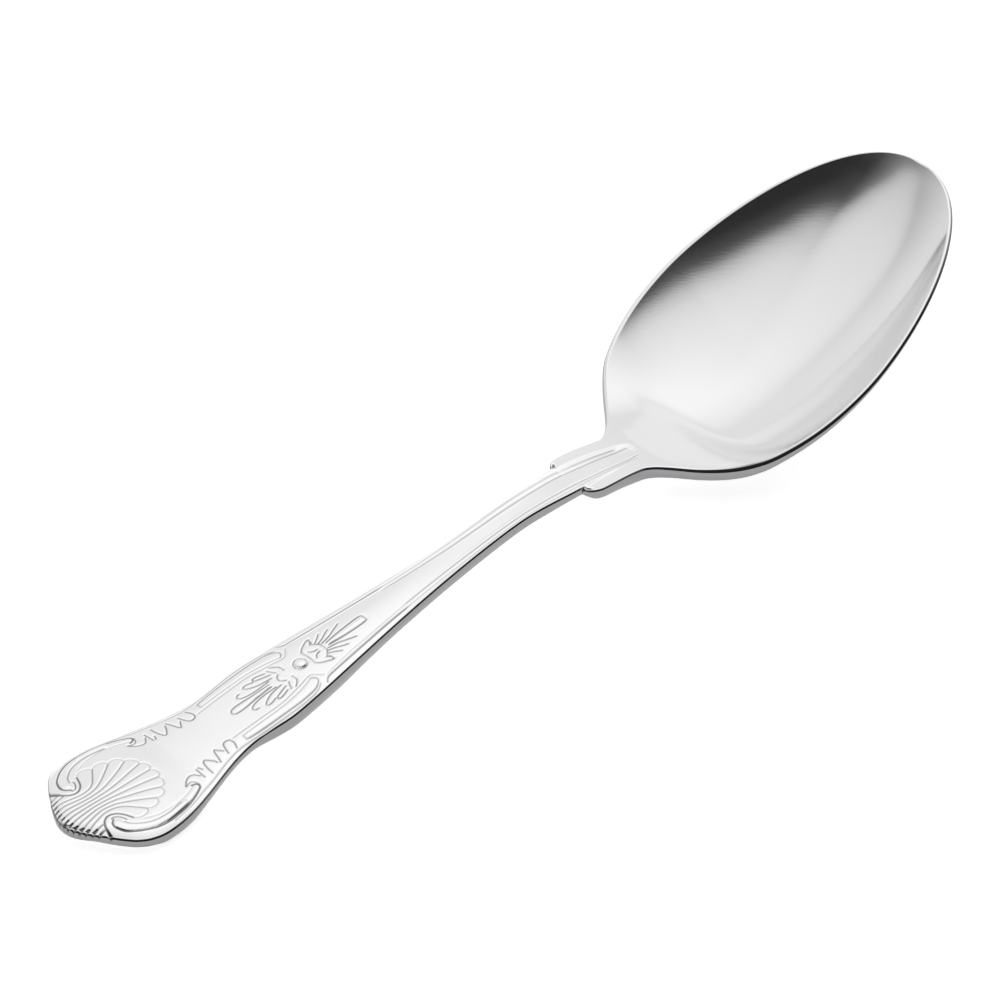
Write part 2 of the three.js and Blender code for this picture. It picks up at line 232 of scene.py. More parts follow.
@dataclass(frozen=True)
class Blank:
    """The spoon before its ornament is struck: outline, side view and thickness.

    A value that changes along the spoon is a row of pairs, each a place and the value there.
    """

    # Places and lengths along the spoon.
    length: float = 180.0
    bowl_length: float = 66.0
    neck_length: float = 11.0
    stem_taper: float = 12.4
    lobe_x: float = 10.6
    waist_x: float = 33.0
    panel_x: float = 39.5
    heel_length: float = 15.5
    tip_length: float = 34.0
    # Widths and the forms of the outline.
    lobe_width: float = 21.6
    waist_width: float = 12.6
    panel_width: float = 13.4
    taper_skew: float = 0.72
    stem_width: float = 5.3
    stem_end_width: float = 6.6
    barb_width: float = 10.2
    barb_round: float = 3.0
    neck_width: float = 9.7
    heel_width: float = 35.1
    bowl_width: float = 42.4
    tip_power: float = 1.7
    tip_round: float = 0.46
    blunt: float = 0.2
    end_outline: Points = (
        (0.0, 0.1), (0.15, 1.2), (0.65, 2.5), (1.25, 3.65), (1.95, 4.75), (2.75, 5.7), (3.8, 7.2),
        (4.8, 8.4), (5.65, 9.25), (7.65, 10.35), (9.65, 10.76), (10.6, 10.8),
    )
    outline_points: int = 60001
    # The side view: straight runs with blended corners.
    handle_flat: float = 18.8
    flat_blend: float = 6.0
    crest_back: float = 13.0
    crest_height: float = 10.15
    crest_blend: float = 14.7
    dip_length: float = 9.4
    dip_height: float = 5.54
    dip_blend: float = 3.4
    rim_pitch: float = 21.9
    end_height: float = 1.9
    # The section: its edge all along, and the upper face and the back of the handle.
    back_round: float = 0.4
    back_power: float = 2.0
    shoulder: float = 1.9
    under_power: float = 6.0
    edge_thickness: Points = (
        (0.0, 1.6), (0.6, 1.4), (1.3, 1.05), (1.85, 0.85), (2.3, 1.0), (2.9, 1.2), (5.5, 1.35),
        (8.0, 1.5), (10.0, 1.75), (13.0, 1.85), (16.0, 1.9), (20.0, 1.65), (26.0, 1.5), (31.0, 1.6),
        (36.0, 2.2), (42.0, 2.5), (49.0, 2.55), (56.0, 2.25), (64.0, 2.1), (74.0, 2.1), (84.0, 2.05),
        (95.0, 1.85), (99.0, 1.6), (102.6, 1.45), (104.5, 2.15), (109.0, 2.35), (114.0, 2.7), (118.0, 2.6),
        (122.0, 2.4), (126.0, 2.1), (132.0, 1.6), (140.0, 1.3), (150.0, 1.1),
    )
    end_lift: Points = ((0.0, 0.6), (2.0, 0.55), (4.0, 0.4), (7.5, 0.15), (11.0, 0.0))
    under_lift: Points = ((0.0, 0.9), (1.5, 0.6), (4.0, 0.25), (8.0, 0.0))
    rise: Points = (
        (0.0, 0.35), (3.0, 0.6), (8.0, 0.75), (14.0, 0.75), (18.0, 0.55), (22.0, 0.3), (28.0, 0.3),
        (34.0, 0.42), (40.0, 0.35), (47.0, 0.2), (54.0, 0.1), (60.0, 0.0), (75.0, -0.15), (90.0, -0.35),
        (100.0, -0.45), (108.0, -0.7), (114.0, -0.65), (118.0, -0.3),
    )
    crown: Points = (
        (0.0, 0.2), (6.0, 0.45), (16.0, 0.45), (24.0, 0.35), (34.0, 0.12), (42.0, 0.15), (50.0, 0.35),
        (60.0, 0.45), (70.0, 0.25), (82.0, 0.0),
    )
    # The raised panel of the neck and the wings beside it.
    panel_corner: float = 0.9
    panel_edge: float = 0.3
    panel_half: Points = (
        (103.0, 3.08), (106.0, 2.95), (110.0, 2.7), (113.0, 2.5), (116.0, 2.2), (117.6, 1.9),
    )
    panel_drop: Points = ((103.0, 0.0), (110.0, 0.2), (117.6, 0.5))
    wing_drop: Points = ((103.0, 0.4), (110.0, 0.38), (118.0, 0.5), (128.0, 0.0))
    # The hollow of the bowl.
    bowl_depth: float = 10.15
    bowl_sheet: float = 1.1
    hollow_start: float = 2.5
    hollow_stop: float = 0.6
    hollow_ease: float = 18.0
    hollow_skew: float = 0.93
    tip_fill: float = 0.9
    section_power: Points = (
        (148.0, 2.2), (156.0, 2.4), (164.0, 2.75), (170.0, 3.0), (174.0, 2.75), (177.5, 2.2),
        (180.0, 2.0),
    )

    @property
    def neck_x(self) -> float:
        """Where the bowl begins."""
        return self.length - self.bowl_length

    @property
    def barb_x(self) -> float:
        """Where the wings of the neck begin."""
        return self.neck_x - self.neck_length

    def handle_half(self, x: Array) -> Array:
        """Half the width of the handle.

        Args:
            x: Places along the spoon.

        Returns:
            The half width at each place.
        """
        stem_x = self.barb_x - self.stem_taper
        half = smooth_curve(self.end_outline, x)
        runs = (
            (self.lobe_x, self.waist_x, self.lobe_width, self.waist_width, 1.0),
            (self.waist_x, self.panel_x, self.waist_width, self.panel_width, 1.0),
            (self.panel_x, stem_x, self.panel_width, self.stem_width, self.taper_skew),
            (stem_x, self.barb_x, self.stem_width, self.stem_end_width, 1.0),
        )
        for start, end, a, b, skew in runs:
            half = np.where(x >= start, ease_between(a, b, x, start, end, skew) / 2, half)
        return half

    def bowl_half(self, x: Array) -> Array:
        """Half the width of the neck and the bowl.

        Args:
            x: Places along the spoon, from the barbs on.

        Returns:
            The half width at each place.
        """
        stem, barb, neck = self.stem_end_width / 2, self.barb_width / 2, self.neck_width / 2
        heel, full = self.heel_width / 2, self.bowl_width / 2
        heel_x, widest_x = self.neck_x + self.heel_length, self.length - self.tip_length
        slope = (full - neck) / (widest_x - self.neck_x)
        round_end = self.barb_x + self.barb_round
        nose = 1.0 - np.clip((x - self.barb_x) / self.barb_round, 0.0, 1.0)
        half = stem + (barb - stem) * np.sqrt(1.0 - nose * nose)
        half = np.where(x > round_end, ease_between(barb, neck, x, round_end, self.neck_x), half)
        spans = (
            (self.neck_x, heel_x, neck, heel, 0.0, slope),
            (heel_x, widest_x, heel, full, slope, 0.0),
        )
        for start, end, a, b, slope_in, slope_out in spans:
            t = np.clip((x - start) / (end - start), 0.0, 1.0)
            bow = (end - start) * t * (1.0 - t) * (slope_in * (1.0 - t) - slope_out * t)
            half = np.where(x > start, a + (b - a) * t * t * (3.0 - 2.0 * t) + bow, half)
        toward = 1.0 - np.clip((self.length - x) / self.tip_length, 0.0, 1.0)
        tip = full * (1.0 - toward**self.tip_power) ** self.tip_round
        return np.where(x > widest_x, np.maximum(self.blunt, tip), half)

    def half(self, x: Array) -> Array:
        """Half the width of the whole spoon at each place."""
        return np.where(x < self.barb_x, self.handle_half(x), self.bowl_half(x))

    def side(self, x: Array) -> Array:
        """Height of the edge in side view: straight runs with blended corners.

        Args:
            x: Places along the spoon.

        Returns:
            The height at each place.
        """
        corners = (
            (self.handle_flat, self.end_height, self.flat_blend),
            (self.neck_x - self.crest_back, self.crest_height, self.crest_blend),
            (self.neck_x + self.dip_length, self.dip_height, self.dip_blend),
        )
        slopes = [0.0]
        for near, far in zip(corners, corners[1:]):
            slopes.append((far[1] - near[1]) / (far[0] - near[0]))
        slopes.append(math.tan(math.radians(self.rim_pitch)))
        z = self.end_height + smooth_curve(self.end_lift, x)
        for (corner, _, blend), before, after in zip(corners, slopes, slopes[1:]):
            past = np.clip(x - corner + blend, 0.0, 2 * blend)
            beyond = np.maximum(0.0, x - corner - blend)
            z = z + (after - before) * (past * past / (4 * blend) + beyond)
        return z

    def thickness(self, x: Array) -> Array:
        """Thickness of the metal at its edge at each place."""
        return smooth_curve(self.edge_thickness, x)

    def hollow(self, x: Array) -> Array:
        """Depth of the bowl along its middle line.

        Args:
            x: Places along the spoon.

        Returns:
            The depth at each place.
        """
        start = self.neck_x + self.hollow_start
        run = np.clip((x - start) / (self.length - self.hollow_stop - start), 0.0, 1.0)
        wave = np.maximum(np.sin(np.pi * run**self.hollow_skew), 0.0)
        deepest = 0.5 ** (1.0 / self.hollow_skew)
        depth = self.bowl_depth * np.where(run > deepest, wave**self.tip_fill, wave)
        return depth * ease_between(0.0, 1.0, x, start, start + self.hollow_ease)

    def panel(self, x: Array, y: Array) -> Array:
        """How much of the raised panel of the neck stands at each place, from 0 off it to 1 on it.

        Args:
            x: Places along the spoon.
            y: Distances from its middle line.

        Returns:
            The share at each place.
        """
        dx = np.maximum(0.0, x - self.panel_half[-1][0] + self.panel_corner)
        dy = np.maximum(0.0, y - smooth_curve(self.panel_half, x) + self.panel_corner)
        inside = self.panel_corner - np.hypot(dx, dy)
        return ease(0.5 + inside / self.panel_edge / 2)

    def face(self, x: Array, across: Array, inset: Array, width: Array) -> Array:
        """Height over the edge of the upper face of the handle, whose border is rounded.

        Args:
            x: Places along the spoon.
            across: Share of the way from the middle line to the edge.
            inset: Distances in plan from the edge.
            width: Half width of the face at each place.

        Returns:
            The height at each place.
        """
        share = np.clip(inset / np.minimum(self.shoulder, width), 0.0, 1.0)
        rounded = smooth_curve(self.rise, x) * (1.0 - (1.0 - share) ** 2)
        return rounded + smooth_curve(self.crown, x) * (1.0 - across**2)

    def top(self, x: Array, y: Array, half: Array, inset: Array) -> Array:
        """Height of the upper face without its ornament.

        Args:
            x: Places along the spoon.
            y: Distances from its middle line.
            half: Half width of the face at each place, up to its edge.
            inset: Distances in plan from that edge.

        Returns:
            The height at each place.
        """
        across = np.clip(y / np.maximum(half, self.blunt), 0.0, 1.0)
        handle = self.face(x, across, inset, half + self.blunt)
        dish = self.hollow(x) * (1.0 - across ** smooth_curve(self.section_power, x))
        bowl = -smooth_curve(self.wing_drop, x) - dish
        panel = smooth_curve(self.panel_half, x)
        raised = self.face(x, np.clip(y / panel, 0.0, 1.0), panel - y, panel)
        raised = raised - smooth_curve(self.panel_drop, x)
        neck = bowl + (raised - bowl) * self.panel(x, y)
        return self.side(x) + np.where(x < self.barb_x, handle, neck)

    def outline(self) -> tuple[Array, Array]:
        """Closely spaced places along the spoon, and half its width at each."""
        x = np.linspace(0.0, self.length, self.outline_points)
        return x, self.half(x)

    def offset(self, x: Array, distance: Array) -> Array:
        """Half width of the outline moved inwards in plan.

        Args:
            x: Places along the spoon, one for each cross section.
            distance: How far the outline is moved at each place.

        Returns:
            The half width that is left at each place.
        """
        edge_x, edge_y = self.outline()
        out = self.half(x)
        for row, (place, far) in enumerate(zip(x, distance)):
            if far == 0.0:
                continue
            near = slice(*np.searchsorted(edge_x, (place - far, place + far)))
            sunk = np.sqrt(np.maximum(0.0, far**2 - (edge_x[near] - place) ** 2))
            out[row] = max(0.0, np.min(edge_y[near] - sunk))
        return out

    def inset(self, x: Array, y: Array, reach: float) -> Array:
        """Distance in plan from the outline, worked out exactly near it.

        Args:
            x: Places along the spoon, one for each cross section.
            y: Distances from the middle line, one row for each cross section.
            reach: How far from the outline the distance is needed.

        Returns:
            The distance at each place, no more than the reach.
        """
        edge_x, edge_y = self.outline()
        out = np.full_like(y, reach)
        for row, place in enumerate(x):
            near = slice(*np.searchsorted(edge_x, (place - reach, place + reach)))
            gap = np.hypot(edge_x[near, None] - place, edge_y[near, None] - y[row])
            out[row] = np.minimum(min(reach, place, self.length - place), gap.min(axis=0))
        return out

    def back(self, x: Array, y: Array) -> Array:
        """Height of the under face: flat at the end of the handle, rounded along the stem.

        Args:
            x: Places along the spoon.
            y: Distances from its middle line.

        Returns:
            The height at each place.
        """
        across = np.clip(y / self.half(x), 0.0, 1.0)
        stem_x = self.barb_x - self.stem_taper
        bulge = ease_between(0.0, self.back_round, x, self.handle_flat, stem_x)
        edge = np.maximum(self.side(x) - self.thickness(x), 0.0)
        flat = np.minimum(edge, smooth_curve(self.under_lift, x))
        low = np.where(x < self.handle_flat, flat + (edge - flat) * across**self.under_power, edge)
        power = np.where(x > self.barb_x, smooth_curve(self.section_power, x), self.back_power)
        # The heel's edge is thicker than the sheet of the bowl, and the belly keeps the sheet's thickness.
        spare = np.maximum(self.thickness(x) - self.bowl_sheet, 0.0)
        spare = spare * ease_between(0.0, 1.0, x, self.neck_x, self.neck_x + self.heel_length)
        return low - (self.hollow(x) + bulge - spare) * (1.0 - across**power)


@dataclass(frozen=True)
class ShellAndThread:
    """The coined ornament of the handle, drawn for one side and mirrored about the middle line."""

    bead_x: float = 47.1
    bead_radius: float = 0.95
    bead_height: float = 0.3
    ring_depth: float = 0.17
    ring_place: float = 1.08
    ring_width: float = 0.16

    def shell(self) -> list[Stroke]:
        """The shell: grooves between its ribs, their gaps at the end and the scalloped margin of its fan.

        Returns:
            The strokes.
        """
        ribs = (
            ((-0.6, 0.0), (1.0, 0.0), (6.0, 0.0), (12.0, 0.0), (16.9, 0.0)),
            (
                (-0.5, 0.88), (1.0, 0.87), (2.5, 0.8), (5.5, 0.63), (8.5, 0.72), (11.5, 1.05), (14.5, 1.55),
                (16.7, 1.95),
            ),
            (
                (-0.2, 1.76), (1.2, 1.74), (2.5, 1.6), (5.5, 1.28), (8.5, 1.45), (11.0, 2.1), (13.5, 2.95),
                (15.5, 3.8),
            ),
            (
                (0.1, 2.65), (1.5, 2.6), (2.5, 2.45), (5.5, 1.92), (8.0, 2.15), (10.0, 2.95), (12.0, 4.1),
                (13.5, 5.05),
            ),
            (
                (0.6, 3.5), (1.9, 3.4), (2.7, 3.25), (5.5, 2.6), (7.5, 2.75), (8.8, 3.4), (10.0, 4.6),
                (11.0, 5.75),
            ),
        )
        margin = (
            ((16.9, 0.0), (17.4, 0.45), (17.5, 1.0), (17.3, 1.6), (16.7, 1.95)),
            ((16.7, 1.95), (16.9, 2.6), (16.6, 3.2), (16.1, 3.7), (15.5, 3.8)),
            ((15.5, 3.8), (15.4, 4.5), (14.9, 5.0), (14.2, 5.2), (13.5, 5.05)),
            ((13.5, 5.05), (13.2, 5.7), (12.5, 6.05), (11.7, 6.05), (11.0, 5.75)),
            ((11.0, 5.75), (10.5, 6.3), (9.7, 6.5), (8.8, 6.4), (8.1, 5.9)),
        )
        short = (((1.1, 4.35), (2.7, 4.2), (3.8, 4.15)), ((1.7, 5.1), (2.5, 5.05), (3.4, 5.0)))
        strokes = [Stroke(points, half_width=0.31, height=0.145) for points in ribs]
        strokes += [Stroke(points[:2], half_width=0.26, height=0.24) for points in (*ribs, *short)]
        strokes += [Stroke(points, half_width=0.25, height=0.11) for points in margin]
        return strokes + [Stroke(points, half_width=0.28, height=0.16) for points in short]

    def volute(self) -> list[Stroke]:
        """The scroll that the border curls into beside the shell, with its inner lines.

        Returns:
            The strokes.
        """
        curl = (
            (3.2, 6.9), (3.4, 5.7), (3.8, 4.6), (4.5, 3.75), (5.5, 3.35), (6.5, 3.6), (7.3, 4.3),
            (7.8, 5.2), (8.1, 5.9),
        )
        border = (
            (46.5, 4.9), (45.5, 5.45), (44.0, 5.85), (41.0, 6.08), (38.0, 6.1), (35.0, 6.0), (32.0, 5.85),
            (29.0, 5.85), (26.0, 6.44), (23.0, 7.34), (20.0, 8.16), (17.0, 9.1), (14.5, 9.6), (12.5, 9.95),
        )
        outer = (
            (5.6, 4.4), (5.0, 4.85), (4.75, 5.6), (5.1, 6.65), (5.8, 7.55), (7.4, 8.6), (9.4, 9.35),
            (11.4, 9.58), (13.0, 9.5), (15.4, 9.1), (17.5, 8.5), (19.2, 7.75), (20.0, 7.2), (19.9, 6.6),
            (19.1, 6.35),
        )
        scroll = ((15.5, 8.0), (12.9, 8.4), (10.7, 8.35), (8.7, 7.8), (7.0, 6.6), (6.5, 5.7))
        eye = ((5.5, 4.1), (6.1, 4.1), (6.6, 4.5), (7.0, 5.2), (7.05, 5.6))
        hook = ((18.3, 6.15), (18.9, 5.9), (19.5, 5.8), (20.0, 6.2), (20.2, 6.9))
        echo = ((19.2, 6.6), (17.4, 7.3), (15.3, 7.75), (13.5, 7.85), (11.4, 7.7), (9.3, 7.05))
        body = (
            (16.0, 8.5), (14.0, 8.75), (12.0, 8.85), (10.0, 8.65), (8.2, 8.0), (6.8, 7.0), (5.9, 6.0),
            (5.7, 5.3),
        )
        return [
            Stroke(curl, half_width=0.3, height=0.2),
            Stroke(border, half_width=0.28, height=0.12),
            Stroke(outer, half_width=0.3, height=0.2),
            Stroke(scroll, half_width=0.26, height=0.15),
            Stroke(eye, half_width=0.26, height=0.17),
            Stroke(hook, half_width=0.25, height=0.16),
            Stroke(echo, half_width=0.22, height=0.1),
            Stroke(body, half_width=0.7, height=0.12, relief=Relief.RIDGE),
        ]

    def leaves(self) -> list[Stroke]:
        """The small arched leaves that line the waist.

        Returns:
            The strokes.
        """
        arches = (
            ((18.3, 6.05), (19.2, 5.2), (20.1, 4.8), (20.8, 4.9), (21.5, 5.7)),
            ((21.8, 6.3), (21.85, 5.4), (21.9, 4.4)),
            ((22.3, 4.3), (22.45, 4.6), (22.6, 5.0)),
            ((23.2, 6.5), (23.3, 5.3), (23.6, 4.2), (24.0, 3.9), (24.5, 4.4), (25.0, 5.1), (25.1, 5.5)),
            ((25.5, 5.8), (25.8, 5.0), (26.2, 3.7), (26.5, 3.45), (26.8, 3.9), (27.3, 4.5)),
            ((27.5, 5.3), (27.8, 4.3), (28.2, 3.5), (28.8, 3.35), (29.4, 3.6), (29.5, 4.4), (29.1, 5.4)),
        )
        return [Stroke(points, half_width=0.26, height=0.17) for points in arches]

    def threads(self) -> list[Stroke]:
        """The loops of the panel and the border lines that run from them over the stem to the neck.

        Returns:
            The strokes.
        """
        loop = (
            (31.3, 4.3), (31.3, 4.9), (31.6, 5.25), (35.0, 5.5), (41.0, 5.55), (43.3, 5.42), (45.2, 5.15),
            (46.4, 4.5), (46.75, 3.85), (46.5, 3.4), (46.1, 3.15),
        )
        inner = (
            (31.3, 4.4), (31.8, 4.35), (36.0, 4.38), (40.0, 4.3), (43.0, 3.95), (45.0, 3.5), (46.1, 3.15),
        )
        field = (
            (30.0, 3.65), (36.0, 3.75), (40.0, 3.75), (42.0, 3.45), (44.0, 3.1), (46.2, 2.7), (47.0, 3.05),
            (48.0, 4.05),
        )
        border = (
            (47.4, 5.4), (48.2, 4.75), (50.0, 4.49), (54.0, 4.07), (58.0, 3.67), (62.0, 3.28),
            (66.0, 2.97),
        )
        border_on = ((66.0, 2.97), (72.0, 2.54), (78.0, 2.25), (84.0, 2.1), (90.0, 2.08), (96.0, 2.15))
        echo = ((48.5, 4.26), (50.0, 3.98), (54.0, 3.42), (58.0, 3.08), (62.0, 2.7), (66.0, 2.32))
        echo_on = (
            (66.0, 2.32), (72.0, 1.91), (78.0, 1.58), (84.0, 1.4), (90.0, 1.32), (96.0, 1.35),
            (101.0, 1.42), (106.0, 1.36), (112.0, 1.26), (117.0, 1.1),
        )
        neck = ((96.0, 2.15), (102.0, 2.2), (106.0, 2.05), (110.0, 1.85), (115.0, 1.6))
        close = ((117.0, 1.1), (117.1, 0.6), (117.1, 0.0))
        notch = ((102.8, 3.2), (103.4, 3.4), (103.9, 3.9))
        return [
            Stroke(loop, half_width=0.28, height=0.15),
            Stroke(inner, half_width=0.24, height=0.11),
            Stroke(field, half_width=0.24, height=0.12),
            Stroke(border, half_width=0.27, height=0.15),
            Stroke(border_on, half_width=0.25, height=0.09),
            Stroke(echo, half_width=0.24, height=0.08),
            Stroke(echo_on, half_width=0.27, height=0.115),
            Stroke(neck, half_width=0.25, height=0.09),
            Stroke(close, half_width=0.22, height=0.06),
            Stroke(notch, half_width=0.3, height=0.3),
        ]

    def palmettes(self) -> list[Stroke]:
        """The two leaf sprays that point away from the bead.

        Returns:
            The strokes.
        """
        lower = (
            ((41.0, 0.3), (38.0, 0.42), (36.0, 0.58), (34.5, 0.62), (33.6, 0.45), (33.3, 0.0)),
            ((41.5, 0.8), (39.0, 0.75), (37.5, 0.9), (36.4, 1.2), (36.0, 1.6), (36.2, 2.0), (36.8, 2.1)),
            ((42.3, 1.0), (40.3, 1.25), (38.8, 1.75), (38.0, 2.3), (38.1, 2.65), (38.7, 2.7), (39.8, 2.4)),
            ((42.6, 1.65), (41.2, 2.05), (40.2, 2.4), (40.0, 2.75), (40.4, 2.9), (41.2, 2.75), (42.3, 2.4)),
            ((42.75, 2.65), (43.1, 1.95), (43.5, 1.3)),
            ((43.5, 2.85), (44.4, 2.1), (44.7, 1.5), (44.65, 0.85)),
            ((43.4, 0.9), (42.85, 0.45), (42.7, 0.0)),
        )
        upper = (
            ((48.85, 0.0), (48.8, 1.0), (48.85, 1.55), (49.5, 2.1), (50.5, 2.6), (51.2, 2.85)),
            ((51.2, 2.85), (51.35, 2.5), (51.1, 2.1), (50.7, 1.7)),
            ((51.3, 1.35), (51.8, 0.8), (51.9, 0.0)),
            ((49.6, 0.9), (50.1, 0.4), (50.9, 0.25)),
            ((52.1, 0.65), (53.8, 0.95), (55.2, 1.45), (56.7, 1.95)),
            ((51.7, 1.0), (52.8, 1.35), (54.0, 1.9), (54.8, 2.2)),
            ((51.4, 1.4), (52.3, 1.9), (53.2, 2.5)),
            ((51.1, 1.5), (51.25, 2.2), (51.4, 2.85)),
            ((52.6, 0.3), (55.0, 0.55), (57.5, 0.68), (59.6, 0.7), (60.15, 0.45), (60.2, 0.0)),
        )
        petals = (((41.0, 0.0), (37.0, 0.0), (34.2, 0.0)), ((53.0, 0.0), (57.0, 0.0), (59.6, 0.0)))
        strokes = [Stroke(points, half_width=0.25, height=0.17) for points in (*lower, *upper)]
        return strokes + [
            Stroke(points, half_width=0.5, height=0.08, relief=Relief.RIDGE) for points in petals
        ]

    def bead(self, x: Array, y: Array) -> Array:
        """Height of the round bead between the sprays, with the groove that rings it.

        Args:
            x: Places along the spoon.
            y: Distances from its middle line.

        Returns:
            The change of height at each place.
        """
        out = np.hypot(x - self.bead_x, y) / self.bead_radius
        dome = self.bead_height * np.sqrt(np.clip(1.0 - out * out, 0.0, 1.0))
        ring = self.ring_depth * np.exp(-(((out - self.ring_place) / self.ring_width) ** 2))
        return dome - ring

    def strike(self, x: Array, y: Array) -> tuple[Array, Array]:
        """Height of the whole ornament over the blank, and how deep in a line each place lies.

        Args:
            x: Places along the spoon.
            y: Distances from its middle line.

        Returns:
            The change of height and the depth of the line at each place.
        """
        raised = np.zeros_like(x)
        sunk = np.zeros_like(x)
        groups = (self.shell(), self.volute(), self.leaves(), self.threads(), self.palmettes())
        for stroke in chain(*groups):
            change = stroke.height_at(x, y)
            raised = np.maximum(raised, change)
            sunk = np.minimum(sunk, change)
        bead = self.bead(x, y)
        return raised + sunk + bead, -np.minimum(sunk, bead)


@dataclass(frozen=True)
class Steel:
    """Stainless steel, mirror polished on the handle and finely brushed in the bowl.

    It gives the eye bright neutral reflections, sharp on the handle and softened in the bowl.
    """

    name: str = "stainless_steel_polished_and_brushed"
    colour: str = "#F8F8F8"
    brushed_colour: str = "#F0F0F0"
    # Painted shade and a painted reflection of the darker floor, on the walls of the edge.
    edge_shade_colour: str = "#9C9C9E"
    polish_roughness: float = 0.1
    brushed_roughness: float = 0.09
    polish_end: float = 108.0
    brush_start: float = 122.0
    brush_width: float = 0.3
    brush_length: float = 30.0
    brush_turn: float = 45.6
    brush_bump: float = 0.05
    brush_depth: float = 0.05
    brush_spread: float = 0.05
    # Painted shade: the near black painted into the bottoms of the ornament's lines, by their depth.
    line_shade_colour: str = "#2E2F31"
    line_shade_depth: tuple[float, float] = (0.05, 0.17)
    line_shade_share: float = 0.8

    def brushing(self, tree: Tree, place: Socket, brushed: Socket) -> tuple[Socket, Socket]:
        """Adds the brushed lines, which run aslant over the bowl and break its highlights into streaks.

        Real brushing is too fine to show in the render, so the lines are drawn wider.

        Args:
            tree: The material's node tree.
            place: The place on the spoon.
            brushed: How much of the brushing there is, from 0 to 1.

        Returns:
            The roughness and the normal.
        """
        turned = add_node(
            tree,
            "VectorRotate",
            {"Vector": place, "Angle": math.radians(self.brush_turn)},
            rotation_type="Z_AXIS",
        )
        streaks = add_node(
            tree,
            "Mapping",
            {
                "Vector": turned,
                "Scale": (1 / self.brush_length, 1 / self.brush_width, 1 / self.brush_width),
            },
        )
        lines = add_node(
            tree,
            "TexNoise",
            {"Vector": streaks, "Scale": 1 / MM, "Detail": 2.0, "Roughness": 0.5},
        ).outputs["Fac"]
        even = add_node(
            tree,
            "MapRange",
            {"Value": brushed, "To Min": self.polish_roughness, "To Max": self.brushed_roughness},
        )
        spread = add_node(tree, "Math", {0: lines, 1: self.brush_spread}, operation="MULTIPLY")
        uneven = add_node(tree, "Math", {0: spread, 1: brushed}, operation="MULTIPLY")
        rough = add_node(tree, "Math", {0: even, 1: uneven}, operation="ADD")
        depth = add_node(tree, "Math", {0: brushed, 1: self.brush_bump}, operation="MULTIPLY")
        bump = add_node(
            tree,
            "Bump",
            {"Height": lines, "Strength": depth, "Distance": self.brush_depth * MM},
        )
        return rough.outputs[0], bump.outputs[0]

    def tone(self, tree: Tree, brushed: Socket) -> Socket:
        """Adds the colour of the steel.

        The bottoms of the lines are painted dark as painted shade, which draws the ornament on the handle.
        The edge walls are painted grey as painted shade and a painted reflection of the darker floor beside
        them, which reads as a grey line round the handle.

        Args:
            tree: The material's node tree.
            brushed: How much of the brushing there is, from 0 to 1.

        Returns:
            The colour.
        """
        # Painted shade: the bottoms of the ornament's lines are painted dark by how deep they lie.
        painted_line_shade = add_node(tree, "Attribute", attribute_name=PAINTED_LINE_SHADE)
        shade = add_node(
            tree,
            "MapRange",
            {
                "Value": painted_line_shade.outputs["Fac"],
                "From Min": self.line_shade_depth[0],
                "From Max": self.line_shade_depth[1],
                "To Max": self.line_shade_share,
            },
        )
        # Painted shade: the edge walls and the under edge are painted grey, for the darker floor they
        # reflect and the shade where they meet it.
        painted_edge_shade = add_node(tree, "Attribute", attribute_name=PAINTED_EDGE_SHADE)
        layers = (
            (brushed, self.brushed_colour),
            (painted_edge_shade.outputs["Fac"], self.edge_shade_colour),
            (shade, self.line_shade_colour),
        )
        colour = linear(self.colour)
        # Of a colour mix, inputs 6 and 7 are the two colours and output 2 is the result.
        for share, over in layers:
            mix = add_node(tree, "Mix", {0: share, 6: colour, 7: linear(over)}, data_type="RGBA")
            colour = mix.outputs[2]
        return colour

    def material(self, length: float) -> bpy.types.Material:
        """Builds the material.

        Args:
            length: Length of the spoon, whose middle is the origin.

        Returns:
            The steel material.
        """
        made = bpy.data.materials.new(self.name)
        made.use_nodes = True
        tree = made.node_tree
        tree.nodes.clear()
        place = add_node(tree, "TexCoord").outputs["Object"]
        axes = add_node(tree, "SeparateXYZ", {0: place})
        middle = length / 2
        brushed = add_node(
            tree,
            "MapRange",
            {
                "Value": axes.outputs["X"],
                "From Min": (self.polish_end - middle) * MM,
                "From Max": (self.brush_start - middle) * MM,
            },
            interpolation_type="SMOOTHSTEP",
        ).outputs["Result"]
        rough, normal = self.brushing(tree, place, brushed)
        colour = self.tone(tree, brushed)
        surface = add_node(
            tree,
            "BsdfPrincipled",
            {"Base Color": colour, "Metallic": 1.0, "Roughness": rough, "Normal": normal},
        )
        add_node(tree, "OutputMaterial", {"Surface": surface})
        return made


@dataclass(frozen=True)
class Edge:
    """Section of the upper edge: widths of its lip and its bevel, and how far each of them falls."""

    lip: float
    tilt: float
    bevel: float
    fall: float


